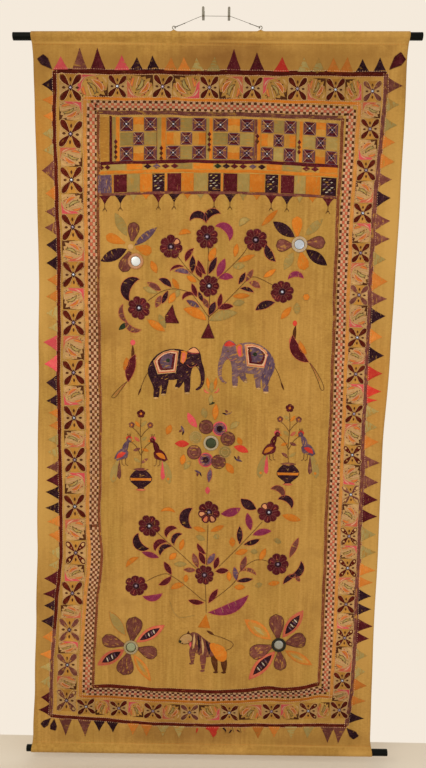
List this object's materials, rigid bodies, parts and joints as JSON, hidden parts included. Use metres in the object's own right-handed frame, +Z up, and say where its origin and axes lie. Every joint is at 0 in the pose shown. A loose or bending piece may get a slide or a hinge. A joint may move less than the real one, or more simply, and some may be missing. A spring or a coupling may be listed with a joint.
{
  "type": "applique wall hanging with two rods, hanging wire and wall hooks",
  "caption": "Mustard cotton cloth with sewn-on patchwork, held flat between two dark rods and hung by a wire from two wall hooks.",
  "frame": {"origin": "on the wall plane, midway between the two hooks and level with the tops of their arms", "axes": "+Z up along the hanging's length, +X to the right seen from the front, +Y into the wall"},
  "size_m": [1.1562, 0.0432, 2.2492],
  "materials": {
    "cotton": "matt plain weave",
    "painted_wood": "gloss paint",
    "steel": "dull zinc",
    "wire": "dull braid",
    "mirror_glass": "polished",
    "ring_thread": "matt stitched thread"
  },
  "bodies": {
    "root": {"cloth": "cotton", "top_rod": "painted_wood", "bottom_rod": "painted_wood", "screw_eye_left": "steel", "screw_eye_right": "steel", "hanging_wire": "wire", "wall_hook_left": "steel", "wall_hook_right": "steel", "mirror_1": "mirror_glass", "mirror_2": "mirror_glass", "mirror_3": "mirror_glass", "mirror_4": "mirror_glass", "mirror_5": "mirror_glass", "mirror_ring_1": "ring_thread", "mirror_ring_2": "ring_thread", "mirror_ring_3": "ring_thread", "mirror_ring_4": "ring_thread", "mirror_ring_5": "ring_thread"}
  },
  "joints": []
}
